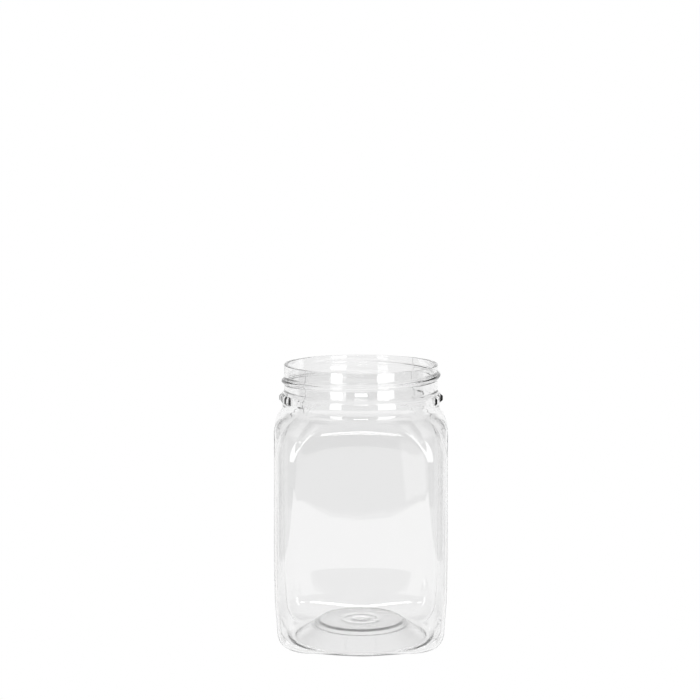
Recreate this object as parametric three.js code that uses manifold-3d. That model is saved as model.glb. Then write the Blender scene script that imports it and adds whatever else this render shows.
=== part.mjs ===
import * as THREE from "three";
import { mergeVertices } from "three/addons/utils/BufferGeometryUtils.js";
import Module from "manifold-3d";

// Clear square jar with a wide screw neck. Millimetres, +Z up, origin under the middle of the base.

// Plan outline of the body
const BODY_HALF = 33.9;
const BODY_HALF_MIDDLE = 33.95;
const BODY_HALF_LOW = 33.6;
const BELLY = 0.4;
const BELLY_SPREAD = 24;
const PANEL_BOW_RADIUS = 400;
const CORNER_RADIUS = 9.9;
const CORNER_START_DEG = 34.5;
const PANEL_STEPS = 5;
const CORNER_STEPS = 4;

// Levels
const HEIGHT = 110.1;
const NECK_FOOT_Z = 93.2;
const SHOULDER_TOP_Z = 92.3;
const SHOULDER_FOOT_Z = 75;
const BODY_MIDDLE_Z = 38;
const HEEL_TOP_Z = 22;
const TAPER_TOP_Z = 20.8;
const TAPER_EASE = 1;
const TAPER_SLOPE = 0.1;
const TAPER_LEFT_IN_CORNER = 0.25;
const HEEL_ROUND_Z = 9.5;
const HEEL_POWER_PANEL = 2.2;
const HEEL_POWER_CORNER = 2.45;

// Neck finish
const NECK_RADIUS = 30.15;
const NECK_FOOT_RADIUS = 30.85;
const NECK_BORE_RADIUS = 28.8;
const RIM_ROUND = 0.4;
const THREAD_CREST_RADIUS = 31.3;
const THREAD_SINK = 0.35;
const THREAD_HALF_WIDTH = 1.7;
const THREAD_PITCH = 4.77;
const THREAD_Z_AT_RIGHT = 105.87;
const THREAD_START_DEG = -281;
const THREAD_END_DEG = 134;
const THREAD_STEP_DEG = 7.5;
const THREAD_RUN_OUT_DEG = 18;
const BEAD_RADIUS = 31.33;
const BEAD_TOP_Z = 99.9;
const BEAD_LAND_TOP_Z = 98.1;
const BEAD_LAND_FOOT_Z = 96.2;
const BEAD_FOOT_Z = 94;
const TOOTH_RADIUS = 32.24;
const TOOTH_ROOT_RADIUS = 31;
const TOOTH_SPAN_DEG = 9.5;
const TOOTH_PITCH_DEG = 19.5;
const TOOTH_FIRST_DEG = [-23.5, 162];
const TEETH_PER_GROUP = 4;
const TOOTH_FOOT_Z = 95.5;
const TOOTH_TOP_Z = 98.2;

// Shoulder
const SHOULDER_HEIGHT_PANEL = 6.6;
const SHOULDER_HEIGHT_CORNER = 17.3;
const SHOULDER_TURN_DEG = [19, 37.5];
const SHOULDER_POWER = 2.4;
const SHOULDER_ROOT_BLEND = 0.9;

// Walls and base
const WALL_NECK = 0.95;
const WALL_BODY = 0.6;
const WALL_BASE = 1.1;
const RING_OUTER_RADIUS = 27.4;
const RING_INNER_RADIUS = 26.2;
const DISC_FOOT_RADIUS = 18.3;
const DISC_FOOT_Z = 5.3;
const DISC_RADIUS = 17.1;
const DISC_Z = 6.5;
const DISC_CENTRE_Z = 6.9;
const GATE_RING_RADIUS = 7.1;
const GATE_RING_DEPTH = 0.1;
const GATE_RADIUS = 3.3;
const GATE_DROP = 0.25;

const radians = THREE.MathUtils.degToRad;
const lerp = THREE.MathUtils.lerp;
const clamp = THREE.MathUtils.clamp;

const wasm = await Module();
wasm.setup();

function stationAngles() {
  const angles = [];
  for (let octant = 0; octant < 8; octant += 1) {
    const octantAngles = [];
    for (let step = 0; step < PANEL_STEPS; step += 1) {
      octantAngles.push((CORNER_START_DEG * step) / PANEL_STEPS);
    }
    for (let step = 0; step < CORNER_STEPS; step += 1) {
      octantAngles.push(lerp(CORNER_START_DEG, 45, step / CORNER_STEPS));
    }
    octantAngles.push(45);
    const quadrantStart = Math.floor(octant / 2) * 90;
    if (octant % 2 === 0) {
      octantAngles.slice(0, -1).forEach((angle) => angles.push(quadrantStart + angle));
    } else {
      octantAngles.slice(1).reverse().forEach((angle) => angles.push(quadrantStart + 90 - angle));
    }
  }
  return angles.map(radians);
}

const ANGLES = stationAngles();

function foldedAngle(theta) {
  const turn = ((theta % (Math.PI / 2)) + Math.PI / 2) % (Math.PI / 2);
  return Math.min(turn, Math.PI / 2 - turn);
}

// Polar radius of a square with bowed sides and round corners
function bowedSquare(theta, half, cornerRadius) {
  const angle = foldedAngle(theta);
  const setBack = PANEL_BOW_RADIUS - half;
  const reach = PANEL_BOW_RADIUS - cornerRadius;
  const side = -setBack * Math.cos(angle)
    + Math.sqrt(PANEL_BOW_RADIUS ** 2 - (setBack * Math.sin(angle)) ** 2);
  const centreOnDiagonal = (Math.sqrt(2 * reach ** 2 - setBack ** 2) - setBack) / 2;
  const joinX = -setBack + (PANEL_BOW_RADIUS * (centreOnDiagonal + setBack)) / reach;
  const joinY = (PANEL_BOW_RADIUS * centreOnDiagonal) / reach;
  if (angle < Math.atan2(joinY, joinX)) {
    return side;
  }
  const centre = centreOnDiagonal * Math.SQRT2;
  const off = angle - Math.PI / 4;
  return centre * Math.cos(off) + Math.sqrt(cornerRadius ** 2 - (centre * Math.sin(off)) ** 2);
}

// How far the outline leans away from the radial direction
function leanFactor(theta, half, cornerRadius) {
  const step = 0.002;
  const radius = bowedSquare(theta, half, cornerRadius);
  const ahead = bowedSquare(theta + step, half, cornerRadius);
  const behind = bowedSquare(theta - step, half, cornerRadius);
  return Math.hypot(1, (ahead - behind) / (2 * step * radius));
}

function smoothMax(a, b, blend) {
  const share = clamp(0.5 + (0.5 * (a - b)) / blend, 0, 1);
  return lerp(b, a, share) + blend * share * (1 - share);
}

function ease(value) {
  const share = clamp(value, 0, 1);
  return share * share * (3 - 2 * share);
}

function halfWidthAt(z) {
  if (z < BODY_MIDDLE_Z) {
    const share = clamp((z - HEEL_ROUND_Z) / (BODY_MIDDLE_Z - HEEL_ROUND_Z), 0, 1);
    return lerp(BODY_HALF_LOW, BODY_HALF_MIDDLE, Math.sin((share * Math.PI) / 2));
  }
  const share = clamp((z - BODY_MIDDLE_Z) / (SHOULDER_FOOT_Z - BODY_MIDDLE_Z), 0, 1);
  return lerp(BODY_HALF_MIDDLE, BODY_HALF, 1 - Math.cos((share * Math.PI) / 2));
}

// Share of the corner shape at an angle: 0 on the panel, 1 in the corner
function cornerShare(theta, fromDegrees, widthDegrees) {
  return ease((THREE.MathUtils.radToDeg(foldedAngle(theta)) - fromDegrees) / widthDegrees);
}

// The panels belly out a little in the middle and taper in towards the foot; the corners stay straight
function bodyRadius(theta, z) {
  const across = clamp(foldedAngle(theta) / radians(CORNER_START_DEG), 0, 1);
  const rise = (z - BODY_MIDDLE_Z) / BELLY_SPREAD;
  const belly = BELLY * Math.exp(-(rise ** 2)) * (1 - across ** 4) ** 1.3;
  const below = Math.max(TAPER_TOP_Z - z, 0);
  const taper = (TAPER_SLOPE * below ** 2) / (below + TAPER_EASE);
  const outline = bowedSquare(theta, BODY_HALF, CORNER_RADIUS) + halfWidthAt(z) - BODY_HALF;
  return outline + belly - taper * lerp(1, TAPER_LEFT_IN_CORNER, cornerShare(theta, 31, 12));
}

function shoulderRadius(theta, z) {
  const turn = THREE.MathUtils.radToDeg(foldedAngle(theta));
  const share = THREE.MathUtils.inverseLerp(...SHOULDER_TURN_DEG, turn);
  const height = lerp(SHOULDER_HEIGHT_PANEL, SHOULDER_HEIGHT_CORNER, clamp(share, 0, 1) ** 4);
  const drop = clamp(smoothMax(SHOULDER_TOP_Z - z, 0, SHOULDER_ROOT_BLEND) / height, 0, 1);
  return lerp(NECK_FOOT_RADIUS, bodyRadius(theta, z), 1 - (1 - drop) ** SHOULDER_POWER);
}

// One wall station: outer point, inner point, both in the half-plane of its angle
function stationFromNormal(outer, normal, wall) {
  return { outer, inner: [outer[0] - wall * normal[0], outer[1] - wall * normal[1]] };
}

function shoulderStations(theta) {
  const lean = leanFactor(theta, BODY_HALF, CORNER_RADIUS);
  const levels = [NECK_FOOT_Z, 92.4, 91.8, 91, 90, 88.8, 87.4, 86, 84, 81.5, 78.5, SHOULDER_FOOT_Z];
  return levels.map((z, index) => {
    const radius = shoulderRadius(theta, z);
    const slope = (shoulderRadius(theta, z - 0.01) - shoulderRadius(theta, z + 0.01)) / 0.02;
    const drop = (NECK_FOOT_Z - z) / (NECK_FOOT_Z - SHOULDER_FOOT_Z);
    const squareShare = clamp(drop * 2, 0, 1);
    const wall = lerp(WALL_NECK, WALL_BODY, Math.sqrt(drop)) * lerp(1, lean, squareShare);
    const atSeam = index === 0 || index === levels.length - 1;
    const normal = new THREE.Vector2(1, atSeam ? 0 : slope).normalize();
    return stationFromNormal([radius, z], [normal.x, normal.y], wall);
  });
}

function bodyStations(theta) {
  const lean = leanFactor(theta, BODY_HALF, CORNER_RADIUS);
  const levels = [SHOULDER_FOOT_Z, 62, 49, BODY_MIDDLE_Z, HEEL_TOP_Z];
  return levels.map((z) => stationFromNormal([bodyRadius(theta, z), z], [1, 0], WALL_BODY * lean));
}

function heelStations(theta) {
  const wall = WALL_BODY * leanFactor(theta, BODY_HALF, CORNER_RADIUS);
  const power = lerp(HEEL_POWER_PANEL, HEEL_POWER_CORNER, cornerShare(theta, 33, 8));
  const taperLevels = [HEEL_TOP_Z, 20, 17, 13];
  const stations = taperLevels.map((z) => stationFromNormal([bodyRadius(theta, z), z], [1, 0], wall));
  for (let step = 0; step <= 7; step += 1) {
    const turn = (step / 7) * (Math.PI / 2);
    const out = Math.cos(turn) ** (2 / power);
    const down = Math.sin(turn) ** (2 / power);
    const z = HEEL_ROUND_Z * (1 - down);
    const radius = lerp(RING_OUTER_RADIUS, bodyRadius(theta, z), out);
    const thickness = lerp(wall, WALL_BASE, down ** 3);
    stations.push(stationFromNormal([radius, z], [Math.cos(turn), -Math.sin(turn)], thickness));
  }
  stations.push(stationFromNormal([RING_INNER_RADIUS, 0], [0, -1], WALL_BASE));
  return stations;
}

function coneStations() {
  return [
    stationFromNormal([RING_INNER_RADIUS, 0], [0, -1], WALL_BASE),
    stationFromNormal([DISC_FOOT_RADIUS, DISC_FOOT_Z], [0, -1], WALL_BASE),
  ];
}

function point(theta, radius, z) {
  return [radius * Math.cos(theta), radius * Math.sin(theta), z];
}

function span(a, b) {
  return Math.hypot(a[0] - b[0], a[1] - b[1], a[2] - b[2]);
}

// Closed ring solid: one closed section per angle, each cell split along its shorter diagonal
function ringGeometry(sectionAt) {
  const sections = ANGLES.map((theta) => sectionAt(theta).map(([r, z]) => point(theta, r, z)));
  const count = sections[0].length;
  const positions = sections.flat(2);
  const index = [];
  for (let k = 0; k < sections.length; k += 1) {
    const next = (k + 1) % sections.length;
    for (let i = 0; i < count; i += 1) {
      const j = (i + 1) % count;
      const [a, b, c, d] = [k * count + i, next * count + i, next * count + j, k * count + j];
      const spanAC = span(sections[k][i], sections[next][j]);
      const spanBD = span(sections[next][i], sections[k][j]);
      index.push(...(spanAC < spanBD ? [a, c, b, a, d, c] : [a, d, b, b, d, c]));
    }
  }
  return indexedGeometry(positions, index);
}

// Closed round plate: the section runs from the lower centre out and back to the upper centre
function plateGeometry(section) {
  const count = section.length - 2;
  const rim = section.slice(1, -1);
  const positions = ANGLES.flatMap((theta) => rim.flatMap(([r, z]) => point(theta, r, z)));
  const lowCentre = ANGLES.length * count;
  positions.push(0, 0, section[0][1], 0, 0, section[section.length - 1][1]);
  const index = [];
  for (let k = 0; k < ANGLES.length; k += 1) {
    const next = (k + 1) % ANGLES.length;
    for (let i = 0; i < count - 1; i += 1) {
      const [a, b] = [k * count + i, next * count + i];
      index.push(a, b, b + 1, a, b + 1, a + 1);
    }
    index.push(lowCentre, next * count, k * count);
    index.push(lowCentre + 1, k * count + count - 1, next * count + count - 1);
  }
  return indexedGeometry(positions, index);
}

function indexedGeometry(positions, index) {
  const geometry = new THREE.BufferGeometry();
  geometry.setAttribute("position", new THREE.Float32BufferAttribute(positions, 3));
  geometry.setIndex(index);
  return geometry;
}

function wallSection(stations) {
  const inner = stations.map((station) => station.inner).reverse();
  return [...stations.map((station) => station.outer), ...inner];
}

function neckSection() {
  const rimStep = RIM_ROUND * 0.3;
  return [
    [NECK_BORE_RADIUS + RIM_ROUND, HEIGHT],
    [NECK_RADIUS - RIM_ROUND, HEIGHT],
    [NECK_RADIUS - rimStep, HEIGHT - rimStep],
    [NECK_RADIUS, HEIGHT - RIM_ROUND],
    [NECK_RADIUS, BEAD_TOP_Z],
    [lerp(NECK_RADIUS, BEAD_RADIUS, 0.5), lerp(BEAD_TOP_Z, BEAD_LAND_TOP_Z, 0.5)],
    [BEAD_RADIUS - 0.1, BEAD_LAND_TOP_Z + 0.05],
    [BEAD_RADIUS, BEAD_LAND_TOP_Z - 0.2],
    [BEAD_RADIUS, BEAD_LAND_FOOT_Z],
    [lerp(BEAD_RADIUS, NECK_FOOT_RADIUS, 0.7), lerp(BEAD_LAND_FOOT_Z, BEAD_FOOT_Z, 0.5)],
    [NECK_FOOT_RADIUS, BEAD_FOOT_Z],
    shoulderStations(0)[0].outer,
    shoulderStations(0)[0].inner,
    [NECK_FOOT_RADIUS - WALL_NECK, BEAD_FOOT_Z],
    [BEAD_RADIUS - WALL_NECK - 0.05, BEAD_LAND_FOOT_Z],
    [BEAD_RADIUS - WALL_NECK - 0.1, BEAD_LAND_TOP_Z - 0.2],
    [NECK_RADIUS - WALL_NECK - 0.15, BEAD_TOP_Z],
    [NECK_BORE_RADIUS, BEAD_TOP_Z + 5],
    [NECK_BORE_RADIUS, HEIGHT - RIM_ROUND],
    [NECK_BORE_RADIUS + rimStep, HEIGHT - rimStep],
  ];
}

function threadProfile(scale, inset) {
  const inner = NECK_RADIUS - THREAD_SINK - inset;
  const depth = (THREAD_CREST_RADIUS - inset - inner) * scale;
  const shape = [[0, -1.05], [0.24, -1], [0.35, -0.75], [0.62, -0.5], [0.89, -0.25], [1, 0]];
  const mirrored = shape.slice(0, -1).reverse().map(([out, up]) => [out, -up]);
  return [...shape, ...mirrored].map(([out, up]) => [inner + depth * out, THREAD_HALF_WIDTH * up]);
}

// The ridge itself, or, set in by the wall, the groove behind it
function threadGeometry(inset) {
  const steps = Math.round((THREAD_END_DEG - THREAD_START_DEG) / THREAD_STEP_DEG);
  const positions = [];
  const index = [];
  const count = threadProfile(1, inset).length;
  for (let k = 0; k <= steps; k += 1) {
    const degrees = lerp(THREAD_START_DEG, THREAD_END_DEG, k / steps);
    const fromEnd = Math.min(degrees - THREAD_START_DEG, THREAD_END_DEG - degrees);
    const scale = lerp(0.4, 1, Math.sin((clamp(fromEnd / THREAD_RUN_OUT_DEG, 0, 1) * Math.PI) / 2));
    const z = THREAD_Z_AT_RIGHT + (THREAD_PITCH * degrees) / 360;
    const profile = threadProfile(scale, inset);
    profile.forEach(([r, up]) => positions.push(...point(radians(degrees), r, z + up)));
  }
  for (let k = 0; k < steps; k += 1) {
    for (let i = 0; i < count; i += 1) {
      const j = (i + 1) % count;
      const [a, b, c, d] = [k * count + i, k * count + count + i, k * count + count + j, k * count + j];
      index.push(a, b, c, a, c, d);
    }
  }
  for (let i = 1; i < count - 1; i += 1) {
    index.push(0, i, i + 1);
    index.push(steps * count, steps * count + i + 1, steps * count + i);
  }
  return indexedGeometry(positions, index);
}

function toothGeometry(startDegrees) {
  const plan = [[TOOTH_ROOT_RADIUS, 0], [TOOTH_RADIUS, 0]];
  for (let step = 1; step <= 3; step += 1) {
    const share = step / 3;
    plan.push([lerp(TOOTH_RADIUS, BEAD_RADIUS - 0.1, share), TOOTH_SPAN_DEG * share]);
  }
  plan.push([TOOTH_ROOT_RADIUS, TOOTH_SPAN_DEG]);
  const corners = plan.map(([r, turn]) => {
    const theta = radians(startDegrees + turn);
    return new THREE.Vector2(r * Math.cos(theta), r * Math.sin(theta));
  });
  const depth = TOOTH_TOP_Z - TOOTH_FOOT_Z;
  const geometry = new THREE.ExtrudeGeometry(new THREE.Shape(corners), { depth, bevelEnabled: false });
  return geometry.translate(0, 0, TOOTH_FOOT_Z);
}

function toManifold(geometry) {
  const bare = geometry.clone();
  bare.deleteAttribute("normal");
  bare.deleteAttribute("uv");
  const merged = mergeVertices(bare, 1e-5);
  const vertProperties = new Float32Array(merged.attributes.position.array);
  const triVerts = new Uint32Array(merged.index.array);
  return new wasm.Manifold(new wasm.Mesh({ numProp: 3, vertProperties, triVerts }));
}

function fromManifold(solid) {
  const mesh = solid.getMesh();
  return indexedGeometry(Array.from(mesh.vertProperties), Array.from(mesh.triVerts));
}

function neckGeometry() {
  const plain = toManifold(ringGeometry(neckSection));
  const groove = toManifold(threadGeometry(NECK_RADIUS - NECK_BORE_RADIUS));
  let solid = plain.add(toManifold(threadGeometry(0))).subtract(groove);
  TOOTH_FIRST_DEG.forEach((first) => {
    for (let tooth = 0; tooth < TEETH_PER_GROUP; tooth += 1) {
      solid = solid.add(toManifold(toothGeometry(first + tooth * TOOTH_PITCH_DEG)));
    }
  });
  return fromManifold(solid);
}

function discSection() {
  const lower = [
    [0, DISC_CENTRE_Z - GATE_DROP],
    [GATE_RADIUS - 0.4, DISC_CENTRE_Z - GATE_DROP],
    [GATE_RADIUS, DISC_CENTRE_Z],
    [GATE_RING_RADIUS - 0.4, DISC_CENTRE_Z],
    [GATE_RING_RADIUS, DISC_CENTRE_Z - GATE_RING_DEPTH],
    [DISC_RADIUS - 0.8, DISC_Z],
    [DISC_RADIUS - 0.1, DISC_Z - 0.35],
    [DISC_RADIUS + 0.6, DISC_FOOT_Z + 0.25],
    [DISC_FOOT_RADIUS, DISC_FOOT_Z],
  ];
  const upper = [
    [DISC_FOOT_RADIUS, DISC_FOOT_Z + WALL_BASE],
    [DISC_RADIUS + 0.6, DISC_FOOT_Z + WALL_BASE + 0.25],
    [DISC_RADIUS - 0.1, DISC_Z + WALL_BASE - 0.35],
    [DISC_RADIUS - 0.8, DISC_Z + WALL_BASE],
    [GATE_RADIUS, DISC_CENTRE_Z + WALL_BASE],
    [0, DISC_CENTRE_Z + WALL_BASE],
  ];
  return [...lower, ...upper];
}

function node(name, geometry) {
  const shaded = geometry.index ? geometry.toNonIndexed() : geometry;
  shaded.computeVertexNormals();
  const material = new THREE.MeshStandardMaterial({
    color: 0xeef3f5, roughness: 0.08, metalness: 0, transparent: true, opacity: 0.35,
  });
  material.name = `${name}_clear_plastic`;
  const mesh = new THREE.Mesh(shaded, material);
  mesh.name = name;
  return mesh;
}

const jar = new THREE.Group();
jar.name = "square_screw_neck_jar";
jar.add(
  node("neck_finish", neckGeometry()),
  node("shoulder", ringGeometry((theta) => wallSection(shoulderStations(theta)))),
  node("body_wall", ringGeometry((theta) => wallSection(bodyStations(theta)))),
  node("heel", ringGeometry((theta) => wallSection(heelStations(theta)))),
  node("base_cone", ringGeometry(() => wallSection(coneStations()))),
  node("base_disc", plateGeometry(discSection())),
);

export default jar;
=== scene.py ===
import math

import bpy
import numpy as np
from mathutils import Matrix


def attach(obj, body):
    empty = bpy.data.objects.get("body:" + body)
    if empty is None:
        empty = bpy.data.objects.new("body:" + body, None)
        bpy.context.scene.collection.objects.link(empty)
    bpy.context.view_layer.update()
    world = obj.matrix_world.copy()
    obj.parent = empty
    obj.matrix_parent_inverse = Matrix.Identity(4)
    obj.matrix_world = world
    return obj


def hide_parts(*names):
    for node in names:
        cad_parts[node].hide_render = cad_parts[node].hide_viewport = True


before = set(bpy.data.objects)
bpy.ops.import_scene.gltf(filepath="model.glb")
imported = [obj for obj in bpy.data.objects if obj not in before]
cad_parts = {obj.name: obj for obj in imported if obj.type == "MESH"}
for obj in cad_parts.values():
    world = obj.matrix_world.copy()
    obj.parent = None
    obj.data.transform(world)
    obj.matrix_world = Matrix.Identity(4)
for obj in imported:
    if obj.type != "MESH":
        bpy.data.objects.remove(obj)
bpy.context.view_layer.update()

MM = 0.001

# Body outline (mm and degrees)
HALF, HALF_MIDDLE, HALF_LOW = 33.9, 33.95, 33.6
BOW_RADIUS, CORNER_RADIUS = 400.0, 9.9
BELLY, BELLY_SPREAD = 0.4, 24
BELLY_EDGE_DEG, BELLY_FLATNESS, BELLY_EDGE_POWER = 34.5, 4, 1.3

# Levels
HEIGHT = 110.1
NECK_FOOT_Z = 93.2
NECK_ROWS_FROM_Z = 93.4
SHOULDER_TOP_Z, SHOULDER_FOOT_Z = 92.3, 75.0
BODY_MIDDLE_Z = 38.0
HEEL_TOP_Z = 9.5

# Foot taper and heel
TAPER_TOP_Z, TAPER_EASE, TAPER_SLOPE = 20.8, 1.0, 0.1
CORNER_TAPER_CUT, TAPER_CORNER_DEG, TAPER_CORNER_SPAN = 0.75, 31, 12
HEEL_POWER_PANEL, HEEL_POWER_CORNER = 2.2, 2.45
HEEL_CORNER_DEG, HEEL_CORNER_SPAN = 33, 8

# Shoulder: short above a panel, tall above a corner
SHOULDER_SHORT, SHOULDER_EXTRA = 6.6, 10.9
SHOULDER_CORNER_DEG, SHOULDER_CORNER_SPAN = 19, 18.5
SHOULDER_CORNER_POWER, SHOULDER_CORNER_BLEND = 4, 0.15
SHOULDER_POWER, SHOULDER_ROOT_BLEND = 2.4, 0.9

# Neck
NECK, NECK_FOOT, BORE = 30.15, 30.85, 28.8
RIM_ROUND = 0.28
THREAD_CREST, THREAD_HALF = 31.3, 1.7
THREAD_PITCH, THREAD_Z = 4.77, 105.87
THREAD_START, THREAD_END, THREAD_FADE = -281.0, 134.0, 20.0
THREAD_INSIDE = 0.9
BEAD = 31.33
BEAD_TOP_Z, LAND_TOP_Z, LAND_FOOT_Z, BEAD_FOOT_Z = 99.9, 98.1, 96.2, 93.6
BEAD_EDGE_BLEND = 0.2
NECK_ROOT_DROP = 2
TOOTH, TOOTH_SPAN, TOOTH_FACE_POWER = 32.2, 9.6, 0.9
TOOTH_PITCH, TOOTH_FIRST, TEETH_PER_GROUP = 19.5, (-23.5, 162.0), 4
TOOTH_FOOT_Z, TOOTH_OVERLAP, TOOTH_EDGE = 95.5, 0.6, 1.2
TEETH = [first + TOOTH_PITCH * k for first in TOOTH_FIRST for k in range(TEETH_PER_GROUP)]
PARTING, PARTING_HEIGHT, PARTING_WIDTH = (45.0, 225.0), 0.08, 0.2

# Walls
WALL_BODY, WALL_NECK, WALL_RIM = 0.6, 0.95, 1.35
WALL_LOW_TOP_Z, WALL_LOW_GAIN = 60, 0.0027
WALL_TURN_Z, WALL_TURN_HEIGHT = 84, 9
WALL_RIM_FROM_Z, WALL_RIM_HEIGHT = 94, 12
BASE_WALL, BASE_WALL_EDGE, BASE_WALL_SPAN = 1.1, 31, 4

# Base
RING_OUT, RING_IN = 27.4, 26.2
CONE_TOP_R, CONE_TOP_Z = 18.3, 5.3
DISC_R, DISC_Z, DISC_MIDDLE_Z = 17.1, 6.5, 6.6
DISC_FLAT_R = 16
GATE_R, GATE_EDGE = 3.3, 1.2
GATE_LOW, GATE_HIGH = 0.22, 0.1
GATE_RING_R = 7.1
GATE_RING_LOW, GATE_RING_LOW_WIDTH = 0.08, 0.6
GATE_RING_HIGH, GATE_RING_HIGH_WIDTH = 0.05, 0.8

# Mesh rows
DISC_ROWS = (1.0, 2.0, 2.6, 2.9, 3.1, 3.3, 3.5, 3.8, 4.5, 5.5,
             6.2, 6.6, 7.0, 7.4, 7.9, 9, 11, 13, 15, DISC_FLAT_R)
STEP_ROWS, CONE_ROWS, HEEL_ROWS, BODY_ROWS = 12, 18, 40, 60
BASE_ROWS = len(DISC_ROWS) + STEP_ROWS + CONE_ROWS
SHOULDER_LOW_ROWS, SHOULDER_HIGH_ROWS = 12, 30
RIM_ROWS = 6
NECK_ROW_STEP, BORE_ROW_STEP = 0.12, 0.15

# Light levels
ROOM, CEILING, FRONT = 0.2, 0.5, 0.03


def clamp01(x):
    return np.clip(x, 0.0, 1.0)


def ease(x):
    x = clamp01(x)
    return x * x * (3 - 2 * x)


def smooth_min(a, b, k):
    h = clamp01(0.5 + 0.5 * (b - a) / k)
    return b * (1 - h) + a * h - k * h * (1 - h)


def smooth_max(a, b, k):
    return -smooth_min(-a, -b, k)


# --- outlines

# Polar radius of a square with bowed sides and round corners
def bowed_square(theta):
    t = np.mod(theta, math.pi / 2)
    t = np.minimum(t, math.pi / 2 - t)
    back = BOW_RADIUS - HALF
    reach = BOW_RADIUS - CORNER_RADIUS
    side = -back * np.cos(t) + np.sqrt(BOW_RADIUS**2 - (back * np.sin(t)) ** 2)
    centre = (math.sqrt(2 * reach**2 - back**2) - back) / 2
    join_x = -back + BOW_RADIUS * (centre + back) / reach
    join_y = BOW_RADIUS * centre / reach
    off = t - math.pi / 4
    diagonal = centre * math.sqrt(2)
    round_part = np.maximum(CORNER_RADIUS**2 - (diagonal * np.sin(off)) ** 2, 0)
    corner = diagonal * np.cos(off) + np.sqrt(round_part)
    return np.where(t < math.atan2(join_y, join_x), side, corner)


def half_at(z):
    low = clamp01((z - HEEL_TOP_Z) / (BODY_MIDDLE_Z - HEEL_TOP_Z))
    high = clamp01((z - BODY_MIDDLE_Z) / (SHOULDER_FOOT_Z - BODY_MIDDLE_Z))
    below = HALF_LOW + (HALF_MIDDLE - HALF_LOW) * np.sin(low * math.pi / 2)
    above = HALF_MIDDLE + (HALF - HALF_MIDDLE) * (1 - np.cos(high * math.pi / 2))
    return np.where(z < BODY_MIDDLE_Z, below, above)


# Angle from the middle of the nearest panel, 0 to 45 degrees
def folded(theta):
    t = np.mod(theta, math.pi / 2)
    return np.degrees(np.minimum(t, math.pi / 2 - t))


# The panels belly out in the middle and taper in towards the foot
def body_r(theta, z):
    t = folded(theta)
    across = (1 - clamp01(t / BELLY_EDGE_DEG) ** BELLY_FLATNESS) ** BELLY_EDGE_POWER
    belly = BELLY * np.exp(-(((z - BODY_MIDDLE_Z) / BELLY_SPREAD) ** 2)) * across
    full = bowed_square(theta) + half_at(z) - HALF + belly
    below = np.maximum(TAPER_TOP_Z - z, 0)
    corner = ease((t - TAPER_CORNER_DEG) / TAPER_CORNER_SPAN)
    taper = TAPER_SLOPE * below**2 / (below + TAPER_EASE) * (1 - CORNER_TAPER_CUT * corner)
    return full - taper


def shoulder_r(theta, z):
    turn = clamp01((folded(theta) - SHOULDER_CORNER_DEG) / SHOULDER_CORNER_SPAN)
    corner = smooth_min(turn, 1.0, SHOULDER_CORNER_BLEND) ** SHOULDER_CORNER_POWER
    tall = SHOULDER_SHORT + SHOULDER_EXTRA * corner
    s = clamp01(smooth_max(SHOULDER_TOP_Z - z, 0, SHOULDER_ROOT_BLEND) / tall)
    return NECK_FOOT + (body_r(theta, z) - NECK_FOOT) * (1 - (1 - s) ** SHOULDER_POWER)


# Even columns, closer in the corners, with extra ones at the parting lines and tooth faces
def angle_list():
    fine, coarse, corner_from = 0.375, 0.75, 30
    base = [a for a in np.arange(0, 360, fine)
            if abs((a + 45) % 90 - 45) > corner_from or (a / coarse) % 1 == 0]
    extra = []
    for p in PARTING:
        extra += [p + d for d in (-0.5, -0.3, -0.15, -0.07, 0.07, 0.15, 0.3, 0.5)]
    for t in TEETH:
        extra += [(t + d) % 360 for d in (-0.25, -0.1, 0.0, 0.12, 0.3)]
    out = np.array(sorted(set(np.round(base + extra, 3))))
    closest = 0.04
    keep = np.r_[True, np.diff(out) > closest]
    return np.radians(out[keep])


TH = angle_list()
DEG = np.degrees(TH)


# --- neck

# A single right-hand ridge with a rounded crest, fading out at both ends
def thread_lift(z):
    lift = np.zeros_like(DEG)
    narrow = 0.55
    for turn in (-1, 0, 1):
        a = DEG + 360 * turn
        fade = ease((a - THREAD_START) / THREAD_FADE) * ease((THREAD_END - a) / THREAD_FADE)
        width = THREAD_HALF * (narrow + (1 - narrow) * fade)
        d = np.abs(z - (THREAD_Z + THREAD_PITCH * a / 360)) / width
        bump = 0.5 + 0.5 * np.cos(math.pi * clamp01(d))
        lift = np.maximum(lift, bump * fade * (THREAD_CREST - NECK))
    return lift


# Saw teeth: a steep face, then a long slope back to the bead
def tooth_radii():
    out = np.zeros_like(DEG)
    for t in TEETH:
        d = (DEG - t) % 360
        slope = TOOTH - (TOOTH - BEAD) * (d / TOOTH_SPAN) ** TOOTH_FACE_POWER
        out = np.maximum(out, np.where(d < TOOTH_SPAN, slope, 0))
    return out


TOOTH_R = tooth_radii()


def parting_ridge():
    ridge = np.zeros_like(DEG)
    for p in PARTING:
        d = np.abs(DEG - p) % 360
        d = np.minimum(d, 360 - d)
        ridge = np.maximum(ridge, np.exp(-((d / PARTING_WIDTH) ** 2)))
    return PARTING_HEIGHT * ridge


PARTING_LIFT = parting_ridge()


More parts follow.
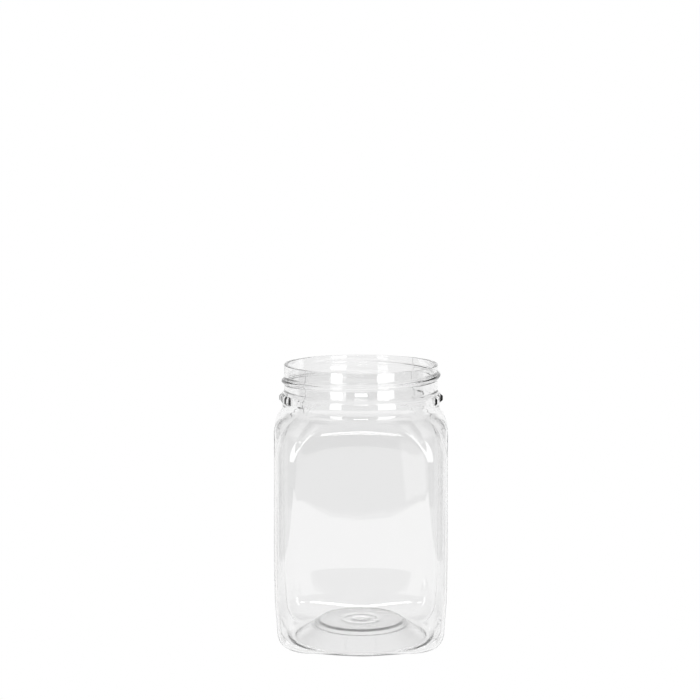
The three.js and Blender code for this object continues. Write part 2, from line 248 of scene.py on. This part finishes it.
# The inside follows the thread and the bead, but not the teeth and the parting lines
def neck_r(z, outside=True):
    up = smooth_max((BEAD_TOP_Z - z) / (BEAD_TOP_Z - LAND_TOP_Z), 0.0, BEAD_EDGE_BLEND)
    up = smooth_min(up, 1.0, BEAD_EDGE_BLEND)
    down = ease((z - BEAD_FOOT_Z) / (LAND_FOOT_Z - BEAD_FOOT_Z))
    root = NECK + (NECK_FOOT - NECK) * ease((LAND_TOP_Z - z) / NECK_ROOT_DROP)
    r = root + (BEAD - root) * min(up, down) + np.zeros_like(DEG)
    if not outside:
        return r + THREAD_INSIDE * thread_lift(z)
    if TOOTH_FOOT_Z - TOOTH_OVERLAP <= z <= LAND_TOP_Z + TOOTH_OVERLAP:
        share = ease((LAND_TOP_Z + TOOTH_OVERLAP - z) / TOOTH_EDGE)
        share = share * ease((z - TOOTH_FOOT_Z + TOOTH_OVERLAP) / TOOTH_EDGE)
        r = np.maximum(r, r + (TOOTH_R - BEAD) * share * (TOOTH_R > 0))
    return r + thread_lift(z) + PARTING_LIFT


# --- rings of the shell, one radius and one height per column

def ring(r, z):
    return r + np.zeros_like(TH), z + np.zeros_like(TH)


def heel_ring(turn):
    share = ease((folded(TH) - HEEL_CORNER_DEG) / HEEL_CORNER_SPAN)
    power = HEEL_POWER_PANEL + (HEEL_POWER_CORNER - HEEL_POWER_PANEL) * share
    out = np.cos(turn) ** (2 / power)
    z = HEEL_TOP_Z * (1 - np.sin(turn) ** (2 / power))
    return RING_OUT + (body_r(TH, z) - RING_OUT) * out, z


def disc_z(r):
    return DISC_MIDDLE_Z + (DISC_Z - DISC_MIDDLE_Z) * ease(r / (DISC_R - 1))


def gate_share(r):
    return ease((GATE_R - r) / GATE_EDGE + 0.5)


def disc_low(r):
    groove = math.exp(-(((r - GATE_RING_R) / GATE_RING_LOW_WIDTH) ** 2))
    return disc_z(r) - GATE_LOW * gate_share(r) - GATE_RING_LOW * groove


def disc_high(r):
    ridge = math.exp(-(((r - GATE_RING_R) / GATE_RING_HIGH_WIDTH) ** 2))
    return disc_z(r) + GATE_HIGH * gate_share(r) + GATE_RING_HIGH * ridge


# From the middle of the underside out over the standing ring and up to the shoulder
def outer_rings():
    rings = [ring(r, disc_low(r)) for r in DISC_ROWS]
    edge = 0.1
    for k in range(1, STEP_ROWS + 1):
        t = k / STEP_ROWS
        drop = ease((t - edge) / (1 - edge))
        r = DISC_FLAT_R + (CONE_TOP_R - DISC_FLAT_R) * t
        rings.append(ring(r, DISC_Z + (CONE_TOP_Z - DISC_Z) * drop))
    for k in range(1, CONE_ROWS + 1):
        s = k / CONE_ROWS
        rings.append(ring(CONE_TOP_R + (RING_IN - CONE_TOP_R) * s, CONE_TOP_Z * (1 - s)))
    for turn in np.linspace(math.pi / 2, 0, HEEL_ROWS):
        rings.append(heel_ring(turn))
    for z in np.linspace(HEEL_TOP_Z, SHOULDER_FOOT_Z, BODY_ROWS)[1:]:
        rings.append(ring(body_r(TH, z), z))
    return rings


def shoulder_rings():
    low = np.linspace(SHOULDER_FOOT_Z, WALL_TURN_Z, SHOULDER_LOW_ROWS)[1:]
    high = np.linspace(WALL_TURN_Z, NECK_FOOT_Z, SHOULDER_HIGH_ROWS)[1:]
    return [ring(shoulder_r(TH, z), z) for z in [*low, *high]]


def neck_rings():
    top = HEIGHT - RIM_ROUND + 0.001
    return [ring(neck_r(z), z) for z in np.arange(NECK_ROWS_FROM_Z, top, NECK_ROW_STEP)]


def rim_rings():
    rings = []
    for a in np.linspace(0, math.pi / 2, RIM_ROWS)[1:]:
        low = RIM_ROUND * (1 - math.sin(a))
        rings.append(ring(NECK - RIM_ROUND * (1 - math.cos(a)), HEIGHT - low))
    for a in np.linspace(math.pi / 2, 0, RIM_ROWS):
        low = RIM_ROUND * (1 - math.sin(a))
        rings.append(ring(BORE + RIM_ROUND * (1 - math.cos(a)), HEIGHT - low))
    return rings


# The blown neck is hollow behind its thread and bead
def bore_rings():
    rings = []
    for z in np.arange(HEIGHT - 0.5, NECK_ROWS_FROM_Z - 0.1, -BORE_ROW_STEP):
        thicker = (WALL_RIM - WALL_NECK) * ease((z - WALL_RIM_FROM_Z) / WALL_RIM_HEIGHT)
        rings.append(ring(neck_r(z, outside=False) - WALL_NECK - thicker, z))
    return rings


def grid(rings):
    r = np.array([a for a, _ in rings])
    z = np.array([b for _, b in rings])
    return np.stack([r * np.cos(TH), r * np.sin(TH), z], axis=-1)


def wall_thickness(r, z):
    low = WALL_BODY + WALL_LOW_GAIN * np.maximum(WALL_LOW_TOP_Z - z, 0)
    low = low + (BASE_WALL - low) * ease((BASE_WALL_EDGE - r) / BASE_WALL_SPAN)
    turn = ease((z - WALL_TURN_Z) / WALL_TURN_HEIGHT)
    high = WALL_BODY + (WALL_NECK - WALL_BODY) * turn
    return np.where(z > SHOULDER_FOOT_Z, high, low)


# The inner surface, one wall thickness in along the normal, from the neck down to the middle
def inner_grid(rings):
    p = grid(rings)
    along = np.gradient(p, axis=0)
    around = np.roll(p, -1, axis=1) - np.roll(p, 1, axis=1)
    n = np.cross(around, along)
    n /= np.linalg.norm(n, axis=-1, keepdims=True)
    r = np.hypot(p[..., 0], p[..., 1])
    q = p - n * wall_thickness(r, p[..., 2])[..., None]
    # inside the standing ring the two faces run parallel, except at the gate
    for i in range(BASE_ROWS):
        r_row = r[i, 0]
        gate = disc_high(r_row) - disc_low(r_row) if r_row < DISC_FLAT_R - 1 else 0
        q[i] = p[i]
        q[i, :, 2] += BASE_WALL + gate
    return q[::-1]


def build_shell(name):
    low, shoulder = outer_rings(), shoulder_rings()
    outer = grid(low + shoulder + neck_rings() + rim_rings() + bore_rings())
    p = np.concatenate([outer, inner_grid(low + shoulder)], axis=0)
    rows, cols = p.shape[:2]
    centres = np.array([[0, 0, p[0, 0, 2]], [0, 0, p[-1, 0, 2]]])
    verts = np.concatenate([p.reshape(-1, 3), centres]) * MM
    i = np.arange(rows - 1)[:, None] * cols
    j = np.arange(cols)[None, :]
    k = (j + 1) % cols
    quads = np.stack([i + j, i + k, i + cols + k, i + cols + j], axis=-1).reshape(-1, 4)
    faces = [tuple(map(int, q)) for q in quads]
    low_centre, high_centre = rows * cols, rows * cols + 1
    last = (rows - 1) * cols
    for a in range(cols):
        b = (a + 1) % cols
        faces.append((low_centre, b, a))
        faces.append((high_centre, last + a, last + b))
    mesh = bpy.data.meshes.new(name)
    mesh.from_pydata(verts.tolist(), [], faces)
    mesh.validate()
    mesh.update()
    mesh.polygons.foreach_set("use_smooth", np.ones(len(mesh.polygons), bool))
    obj = bpy.data.objects.new(name, mesh)
    bpy.context.collection.objects.link(obj)
    return obj


# --- node helpers

def noise(nodes, links, coord, scale, detail):
    tex = nodes.new("ShaderNodeTexNoise")
    tex.inputs["Scale"].default_value = scale
    tex.inputs["Detail"].default_value = detail
    links.new(coord.outputs["Object"], tex.inputs["Vector"])
    return tex.outputs["Fac"]


def bump(nodes, links, height, distance):
    node = nodes.new("ShaderNodeBump")
    node.inputs["Strength"].default_value = 1.0
    node.inputs["Distance"].default_value = distance
    links.new(height, node.inputs["Height"])
    return node


def ramp(nodes, links, source, start, end, low=0.0, high=1.0, kind="SMOOTHSTEP"):
    node = nodes.new("ShaderNodeMapRange")
    node.interpolation_type = kind
    node.inputs["From Min"].default_value = start
    node.inputs["From Max"].default_value = end
    node.inputs["To Min"].default_value = low
    node.inputs["To Max"].default_value = high
    links.new(source, node.inputs["Value"])
    return node.outputs[0]


def combine(nodes, links, operation, a, b):
    node = nodes.new("ShaderNodeMath")
    node.operation = operation
    links.new(a, node.inputs[0])
    links.new(b, node.inputs[1])
    return node.outputs[0]


# --- clear plastic

def distance_from_axis(nodes, links, coord):
    apart = nodes.new("ShaderNodeSeparateXYZ")
    links.new(coord.outputs["Object"], apart.inputs[0])
    flat = nodes.new("ShaderNodeCombineXYZ")
    links.new(apart.outputs["X"], flat.inputs["X"])
    links.new(apart.outputs["Y"], flat.inputs["Y"])
    length = nodes.new("ShaderNodeVectorMath")
    length.operation = "LENGTH"
    links.new(flat.outputs[0], length.inputs[0])
    return length.outputs["Value"]


def clear_pet():
    mat = bpy.data.materials.new("clear_pet")
    mat.use_nodes = True
    nodes, links = mat.node_tree.nodes, mat.node_tree.links
    bsdf = nodes["Principled BSDF"]
    bsdf.inputs["Base Color"].default_value = (0.95, 0.95, 0.95, 1)
    bsdf.inputs["Transmission Weight"].default_value = 1.0
    bsdf.inputs["IOR"].default_value = 1.63
    coord = nodes.new("ShaderNodeTexCoord")
    # faint haze in patches, and a frosted disc in the middle of the base
    patches = noise(nodes, links, coord, 260, 3)
    haze = ramp(nodes, links, patches, 0.35, 0.75, 0.0, 0.035, "LINEAR")
    reach = distance_from_axis(nodes, links, coord)
    frost = ramp(nodes, links, reach, 0.0186, 0.0198, 0.2, 0.0)
    roughness = combine(nodes, links, "ADD", haze, frost)
    links.new(roughness, bsdf.inputs["Roughness"])
    # shallow waves of the blown wall, and a fine grain on top of them
    waves = bump(nodes, links, noise(nodes, links, coord, 110, 1), 7e-6)
    grain = bump(nodes, links, noise(nodes, links, coord, 900, 1), 2.5e-6)
    links.new(waves.outputs["Normal"], grain.inputs["Normal"])
    links.new(grain.outputs["Normal"], bsdf.inputs["Normal"])
    return mat


# --- studio

def emission(name, level):
    mat = bpy.data.materials.new(name)
    mat.use_nodes = True
    nodes, links = mat.node_tree.nodes, mat.node_tree.links
    nodes.clear()
    out = nodes.new("ShaderNodeOutputMaterial")
    em = nodes.new("ShaderNodeEmission")
    em.inputs["Color"].default_value = (level, level, level, 1)
    links.new(em.outputs[0], out.inputs["Surface"])
    return mat


def floor_sheet(name, points, z, level):
    mesh = bpy.data.meshes.new(name)
    mesh.from_pydata([(x, y, z) for x, y in points], [], [tuple(range(len(points)))])
    obj = bpy.data.objects.new(name, mesh)
    bpy.context.collection.objects.link(obj)
    mesh.materials.append(emission(name, level))


def softbox(name, azimuth, distance, width, low, high, level):
    light = bpy.data.lights.new(name, "AREA")
    light.shape = "RECTANGLE"
    light.size, light.size_y = width, high - low
    light.energy = level * math.pi * width * (high - low)
    obj = bpy.data.objects.new(name, light)
    a = math.radians(azimuth)
    obj.location = (math.sin(a) * distance, -math.cos(a) * distance, (low + high) / 2)
    obj.rotation_euler = (math.radians(90), 0, a)
    bpy.context.collection.objects.link(obj)


def make_world():
    world = bpy.data.worlds.new("studio")
    bpy.context.scene.world = world
    world.use_nodes = True
    nodes, links = world.node_tree.nodes, world.node_tree.links
    nodes.clear()
    out = nodes.new("ShaderNodeOutputWorld")
    bg = nodes.new("ShaderNodeBackground")
    coord = nodes.new("ShaderNodeTexCoord")
    sep = nodes.new("ShaderNodeSeparateXYZ")
    links.new(coord.outputs["Generated"], sep.inputs[0])
    # white backdrop behind the jar, fading out from 14 to 30 degrees up
    behind = ramp(nodes, links, sep.outputs["Y"], 0.24, 0.34)
    below = ramp(nodes, links, sep.outputs["Z"], 0.24, 0.5, 1.0, 0.0)
    backdrop = combine(nodes, links, "MULTIPLY", behind, below)
    # dim room with a grey ceiling, nearly black in front
    room = ramp(nodes, links, sep.outputs["Z"], 0.6, 0.9, ROOM, CEILING)
    front = ramp(nodes, links, sep.outputs["Y"], -0.9, -0.7, FRONT / ROOM, 1.0)
    room = combine(nodes, links, "MULTIPLY", room, front)
    links.new(combine(nodes, links, "MAXIMUM", backdrop, room), bg.inputs["Color"])
    links.new(bg.outputs[0], out.inputs["Surface"])


def make_floor():
    # a white sheet that ends in front of the jar and beside it, and widens behind it
    half_width, front_edge, back_from = 0.19, -0.34, 0.07
    far, far_from = 4, 1.0
    wide = 3
    white = [(-half_width, front_edge), (half_width, front_edge), (half_width, back_from),
             (wide, far_from), (wide, far), (-wide, far), (-wide, far_from),
             (-half_width, back_from)]
    floor_sheet("white_sheet", white, -0.0001, 1.0)
    card = [(0.062, -0.6), (0.2, -0.6), (0.2, -0.36), (0.062, -0.36)]
    floor_sheet("card", card, -0.0001, 0.5)
    shade_radius, sides = 0.028, 48
    turns = [k * 2 * math.pi / sides for k in range(sides)]
    contact = [(shade_radius * math.cos(a), shade_radius * math.sin(a)) for a in turns]
    floor_sheet("contact_shade", contact, -0.00005, 0.93)


def make_camera():
    data = bpy.data.cameras.new("camera")
    data.lens = 94.22
    data.sensor_width = 36
    camera = bpy.data.objects.new("camera", data)
    bpy.context.collection.objects.link(camera)
    camera.location = (0.262 * MM, -714.38 * MM, 199.49 * MM)
    camera.rotation_euler = (math.radians(90 - 6.709), 0, math.radians(0.367))
    bpy.context.scene.camera = camera


shell = build_shell("jar_shell")
shell.data.materials.append(clear_pet())
shell.visible_shadow = False
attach(shell, "root")
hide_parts("neck_finish", "shoulder", "body_wall", "heel", "base_cone", "base_disc")

make_floor()
make_world()
softbox("softbox_left", azimuth=-36, distance=0.65, width=0.2, low=-0.02, high=0.8, level=2.6)
softbox("softbox_right", azimuth=37, distance=0.65, width=0.3, low=-0.02, high=0.8, level=2.6)
softbox("softbox_top", azimuth=0, distance=0.7, width=0.24, low=0.337, high=0.472, level=6.0)
make_camera()
bpy.context.scene.view_settings.view_transform = "Standard"
